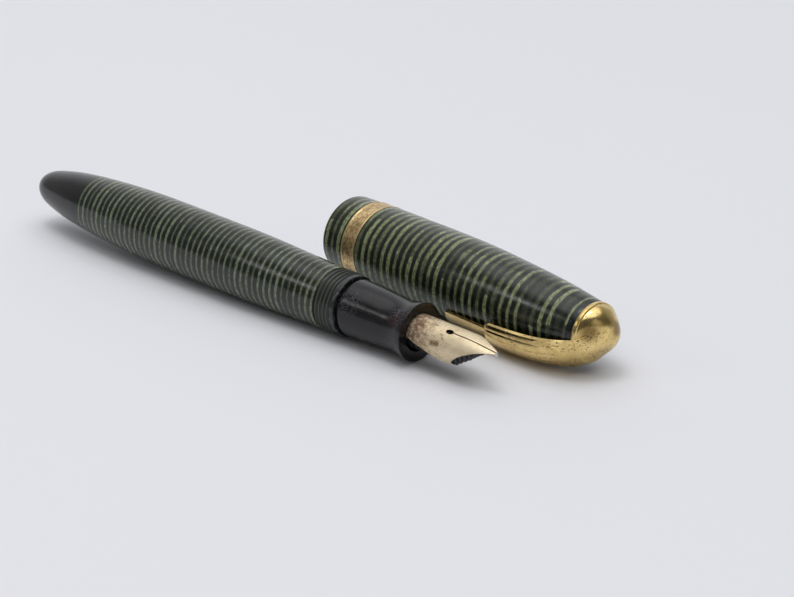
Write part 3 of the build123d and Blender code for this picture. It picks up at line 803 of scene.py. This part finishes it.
def bar_spring():
    """The spring: a rear and a front piece of steel strip that ride on no body, the front drilled for the
    rivets.
    """
    rear = piece("bar_spring_rear", leaf(SPRING_ENDS[0], SPRING_JOIN), PEN, None, spring_steel,
                 ["bar_spring"])
    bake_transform(rear)
    front = piece("bar_spring_front", leaf(SPRING_JOIN + 0.1, SPRING_ENDS[1]), PEN, None,
                  spring_steel, ["bar_spring"])
    for x in RIVETS:
        cut(front, drill(x, RIVET_R, RIVET_R, SPRING_LOW - 0.3, SPRING_HIGH + 0.3, 32), PEN)
    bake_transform(front)


# ---- Cap ----
CAP_OUTER = [(0.7, 6.88), (7.0, 7.07), (14.0, 7.15), (22.0, 7.17), (31.0, 7.09), (41.0, 6.58), (51.0, 5.79),
             (57.6, 4.945)]


def cap_tube():
    outer = smooth(CAP_OUTER, 100)
    seat = np.interp([BAND_START, BAND_END], *np.array(outer).T)
    groove = eased([(BAND_START, seat[0]), (BAND_START, 6.53), (BAND_END, 6.53), (BAND_END, seat[1])], 0.05)
    before = [p for p in outer if p[0] < BAND_START - 0.1]
    outer = before + groove + [p for p in outer if p[0] > BAND_END + 0.1]
    lip = smooth([(0.0, 6.5), (0.06, 6.7), (0.25, 6.82), (0.68, 6.88)], 10)
    back = eased([(57.6, 4.945), (57.7, 4.9), (57.7, 2.6), (45.4, 2.6), (45.4, 4.6), (45.0, 4.6),
                  (30.0, 5.94)], 0.06)
    front = [(8.7, 5.94), (8.6, 5.75), (8.2, 5.75)]
    thread = []
    for i in range(4):
        x = 4.6 + 0.9 * (4 - i)
        thread += [(x, 5.75), (x - 0.34, 5.5), (x - 0.56, 5.5)]
    mouth_bore = eased([(4.6, 5.75), (0.3, 5.75), (0.0, 5.95), (0.0, 6.5)], 0.12)
    outline = lip + outer[1:] + back[1:] + front + thread + mouth_bore[:-1]
    return piece("cap_shell", turned(outline), CAP, "cap", cap_laminate, ["cap_tube"])


def cap_band():
    """The band: a rough field between two plain raised edges."""
    low, high = 6.56, 7.11
    outline = eased([(BAND_START, low), (BAND_START, high), (BAND_START + 0.3, high + 0.02),
                     (BAND_START + 0.38, high - 0.06), (BAND_END - 0.42, high - 0.03),
                     (BAND_END - 0.32, high + 0.05), (BAND_END, high + 0.04), (BAND_END, low)], 0.07)
    return piece("cap_band_ring", turned(outline), CAP, "cap", band_gold, ["cap_band"])


# Crown sections: x, height towards the clip, depth away from it, half width
DOME = [(58.62, 4.45, 4.72, 4.78), (58.9, 3.95, 4.6, 4.7), (59.3, 3.3, 4.4, 4.5), (60.0, 2.25, 3.86, 3.98),
        (60.6, 1.42, 3.3, 3.25), (61.0, 0.8, 2.83, 2.58), (61.35, 0.0, 2.2, 1.6), (61.55, -0.7, 1.6, 0.7),
        (61.6, -1.16, 1.16, 0.0)]
# Clip strap sections: x, crown height, half width, drop from crown to side, thickness
STRAP = [(40.9, 8.47, 3.3, 1.5, 0.55), (45.0, 8.5, 3.6, 1.6, 0.55), (49.0, 8.21, 3.6, 1.6, 0.6),
         (53.0, 7.5, 3.6, 1.5, 0.6), (55.5, 6.6, 3.6, 1.3, 0.5), (57.7, 5.38, 3.4, 1.1, 0.34),
         (58.4, 4.85, 3.3, 1.05, 0.34), (59.0, 4.2, 3.1, 1.0, 0.4), (60.0, 2.8, 2.6, 0.85, 0.4),
         (61.0, 1.2, 1.8, 0.55, 0.35), (61.4, 0.3, 1.2, 0.35, 0.3)]
# Where the strap's edges sink to the crown's surface
STRAP_MELT = (58.4, 60.0)


def crown_height(x, y):
    """Height of the crown's surface on the clip's side."""
    up, down, half = (float(v) for v in along(DOME, max(x, DOME[0][0])))
    middle, tall = (up - down) / 2, (up + down) / 2
    return middle + tall * math.sqrt(max(0.0, 1 - (y / max(half, 0.01)) ** 2))


def strap_at(x):
    """Crown height, half width, drop and thickness of the strap at x."""
    crown, width, drop, thick = (float(v) for v in along(STRAP, x))
    melt = float(np.clip((x - STRAP_MELT[0]) / (STRAP_MELT[1] - STRAP_MELT[0]), 0, 1))
    proud = max(0.0, crown - drop - crown_height(x, width))
    return crown, width, drop + proud * melt * melt * (3 - 2 * melt), thick


def dome():
    """The rounded crown, leaning away from the clip, sunk where the clip's strap lies in it."""
    angles = np.arange(AROUND) * 2 * math.pi / AROUND
    rings = []
    rim = [(57.73, 2.65), (57.73, 4.9), (57.78, 5.0), (57.95, 5.03), (58.4, 5.0), (58.52, 4.9), (58.56, 4.66)]
    for x, r in eased(rim, 0.06):
        rings.append([(x, r * math.sin(a), r * math.cos(a)) for a in angles])
    rows = smooth(DOME, 50)
    for x, up, down, half in rows[:-1]:
        middle, tall = (up - down) / 2, (up + down) / 2
        crown, width, drop, thick = strap_at(x)
        ring = []
        for a in angles:
            y, z = half * math.sin(a), middle + tall * math.cos(a)
            share = min(1.0, max(0.0, (width - abs(y)) / 0.25)) if z > middle else 0.0
            bed = crown - drop * (y / width) ** 2 - thick - 0.02
            sunk = min(z, bed)
            ring.append((x, y, z + (sunk - z) * share * share * (3 - 2 * share)))
        rings.append(ring)
    x, up, down, half = rows[-1]
    rings.append([(x, 0, (up - down) / 2)])
    points, faces = skin(rings)
    back = len(points)
    points.append((57.73, 0, 0))
    faces += [(back, i, (i + 1) % AROUND) for i in range(AROUND)]
    return piece("crown_dome_shell", (points, faces), CAP, "cap", dome_gold, ["crown_dome"])


def rib_height(v, x):
    """How far the strap's ribs stand over its crescent, at a share v of the half width."""
    fade = 1 - float(np.clip((x - 55.0) / 3.5, 0, 1)) ** 2
    start = float(np.interp(x, [41, 46.5, 55], [0.6, 0.44, 0.3]))
    groove_one = math.exp(-((abs(v) - 0.76) / 0.045) ** 2)
    groove_two = math.exp(-((abs(v) - start) / 0.05) ** 2) * (1 - float(np.clip((x - 51) / 5, 0, 1)))
    outer = math.exp(-((abs(v) - 0.89) / 0.1) ** 2)
    return fade * (0.12 * outer - 0.15 * groove_one - 0.11 * groove_two)


def clip_strap():
    stations = np.concatenate([np.linspace(40.9, 42.0, 12), np.linspace(42.2, 61.4, 110)])
    across = np.linspace(-1, 1, 121)
    rings = []
    for x in stations:
        crown, width, drop, thick = strap_at(x)
        into = (x - stations[0]) / 1.1
        if into < 1:
            width = width * (0.8 + 0.2 * math.sqrt(max(0.0, 1 - (1 - into) ** 2)))
        top = [(x, v * width, crown - drop * v * v + rib_height(v, x)) for v in across]
        low = [(x, v * width * 0.98, crown - drop * v * v - thick * (1 - 0.25 * v * v)) for v in across[::-1]]
        rings.append(top + low)
    return piece("clip_strap_blade", skin_of_bands(rings), CAP, "clip", clip_gold,
                 ["clip_strap"], sharp=42)


# Clip tongue: x with the radius of its underside
TONGUE = [(30.0, 7.21), (36.0, 7.23), (41.0, 7.25), (45.0, 7.25)]


def clip_tongue():
    """The spring leaf under the strap, cut slantwise at its tip, with turned-down edges."""
    half, thick, slant = 2.08, 0.36, 1.4
    across = np.linspace(-1, 1, 41)
    rings = []
    for step in np.linspace(0, 1, 60):
        top, low = [], []
        for v in across:
            x = TONGUE[0][0] + slant * (1 + v) / 2 * (1 - step) + (TONGUE[-1][0] - TONGUE[0][0]) * step
            r = float(along(TONGUE, x)[0])
            a = math.asin(v * half / r)
            edge = thick * (1 - 0.45 * max(0, (abs(v) - 0.86) / 0.14) ** 2)
            top.append((x, (r + edge) * math.sin(a), (r + edge) * math.cos(a)))
            low.append((x, r * math.sin(a), r * math.cos(a)))
        rings.append(top + low[::-1])
    return piece("clip_tongue_leaf", skin_of_bands(rings), CAP, "clip", clip_gold,
                 ["clip_tongue"])


def dress_hidden_nodes():
    """Materials for the CAD pieces that stay as they are."""
    finishes = {"tail_nipple": polished_black, "inner_cap": inner_black, "filler_button": pen_brass,
                "crown_bushing": cap_brass, "crown_screw": cap_brass, "clip_rivets": cap_brass,
                "pressure_bar": spring_steel, "bar_rivets": spring_steel}
    for node, material in finishes.items():
        mesh = frame["nodes"][node].data
        mesh.materials.clear()
        mesh.materials.append(material)
        soften(mesh, 30)


barrel()
blind_cap()
section()
nib()
nib_pellet()
feed()
ink_sac()
bar_spring()
cap_tube()
cap_band()
dome()
clip_strap()
clip_tongue()
dress_hidden_nodes()


# ---- Floor, light and camera ----
FLOOR_REACH = 6.0       # metres
# Brightness of the room on the camera's side, on the far side and in each brighter patch
ROOM_DARK = 0.12
ROOM_BRIGHT = 0.37
LEFT_WALL = 0.9
LEFT_FRONT = 0.16
RIGHT_FRONT = 0.5
CEILING = 1.42
# The camera: its place from the barrel's mouth, and the way it looks
CAMERA_FROM_MOUTH = (0.21974, -0.22748)
CAMERA_HEIGHT = 0.14
CAMERA_LOOK = (-0.62561, 0.67678, -0.38805)
LENS = 95.2


def floor():
    n = Nodes("floor", Matrix.Identity(4), Roughness=0.8, Specular_IOR_Level=0.2)
    cloud = n.noise(n.place, 0.004, 2.0)
    n.set("Base Color", n.mix(cloud, (0.79, 0.79, 0.82), (0.81, 0.81, 0.84)))
    mesh = bpy.data.meshes.new("floor")
    corners = [(x * FLOOR_REACH, y * FLOOR_REACH, 0) for x, y in ((-1, -1), (1, -1), (1, 1), (-1, 1))]
    mesh.from_pydata(corners, [], [(0, 1, 2, 3)])
    mesh.materials.append(n.material)
    obj = bpy.data.objects.new("floor", mesh)
    bpy.context.scene.collection.objects.link(obj)


def soft_light(name, place, aim, size, watts):
    data = bpy.data.lights.new(name, "AREA")
    data.shape = "RECTANGLE"
    data.size, data.size_y = size
    data.energy = watts
    obj = bpy.data.objects.new(name, data)
    obj.location = place
    obj.rotation_euler = (Vector(aim) - Vector(place)).to_track_quat("-Z", "Y").to_euler()
    bpy.context.scene.collection.objects.link(obj)


def world():
    """A studio that is dim on the camera's side, and brighter far off, left, front right and overhead."""
    scene_world = bpy.data.worlds.new("world")
    bpy.context.scene.world = scene_world
    scene_world.use_nodes = True
    tree = scene_world.node_tree
    way = tree.nodes.new("ShaderNodeTexCoord").outputs["Generated"]

    def along_axis(axis, low, high, dim, bright):
        dot = tree.nodes.new("ShaderNodeVectorMath")
        dot.operation = "DOT_PRODUCT"
        tree.links.new(way, dot.inputs[0])
        dot.inputs[1].default_value = axis
        ramp = tree.nodes.new("ShaderNodeMapRange")
        ramp.interpolation_type = "SMOOTHSTEP"
        tree.links.new(dot.outputs["Value"], ramp.inputs[0])
        for socket, value in zip(ramp.inputs[1:5], (low, high, dim, bright)):
            socket.default_value = value
        return ramp.outputs[0]

    away = Vector((CAMERA_LOOK[0], CAMERA_LOOK[1], 0)).normalized()
    strength = along_axis(away, -0.15, 0.5, ROOM_DARK, ROOM_BRIGHT)
    others = [along_axis(Vector((-0.7, 0.7, 0.1)).normalized(), 0.3, 1.0, 0.0, LEFT_WALL),
              along_axis(Vector((-0.63, -0.75, 0.2)).normalized(), 0.8, 1.0, 0.0, LEFT_FRONT),
              along_axis(Vector((0.9, -0.35, 0.3)).normalized(), 0.9, 1.0, 0.0, RIGHT_FRONT),
              along_axis((0, 0, 1), 0.69, 0.82, 0.0, CEILING)]
    for other in others:
        most = tree.nodes.new("ShaderNodeMath")
        most.operation = "MAXIMUM"
        tree.links.new(strength, most.inputs[0])
        tree.links.new(other, most.inputs[1])
        strength = most.outputs[0]
    background = tree.nodes["Background"]
    background.inputs["Color"].default_value = (0.97, 0.98, 1.0, 1)
    tree.links.new(strength, background.inputs["Strength"])


def camera():
    data = bpy.data.cameras.new("camera")
    data.lens = LENS
    data.sensor_width = 36
    data.clip_start = 0.01
    obj = bpy.data.objects.new("camera", data)
    obj.location = (mouth.x + CAMERA_FROM_MOUTH[0], mouth.y + CAMERA_FROM_MOUTH[1], CAMERA_HEIGHT)
    obj.rotation_euler = Vector(CAMERA_LOOK).to_track_quat("-Z", "Y").to_euler()
    bpy.context.scene.collection.objects.link(obj)
    bpy.context.scene.camera = obj


floor()
world()
soft_light("key", (-0.04, -0.12, 0.86), (0, 0, 0), (0.3, 0.3), 1.3)
soft_light("low_window", (-0.42, -0.54, 0.42), (0, 0, 0), (0.14, 0.12), 0.2)
bpy.context.scene.view_settings.view_transform = "Standard"
camera()
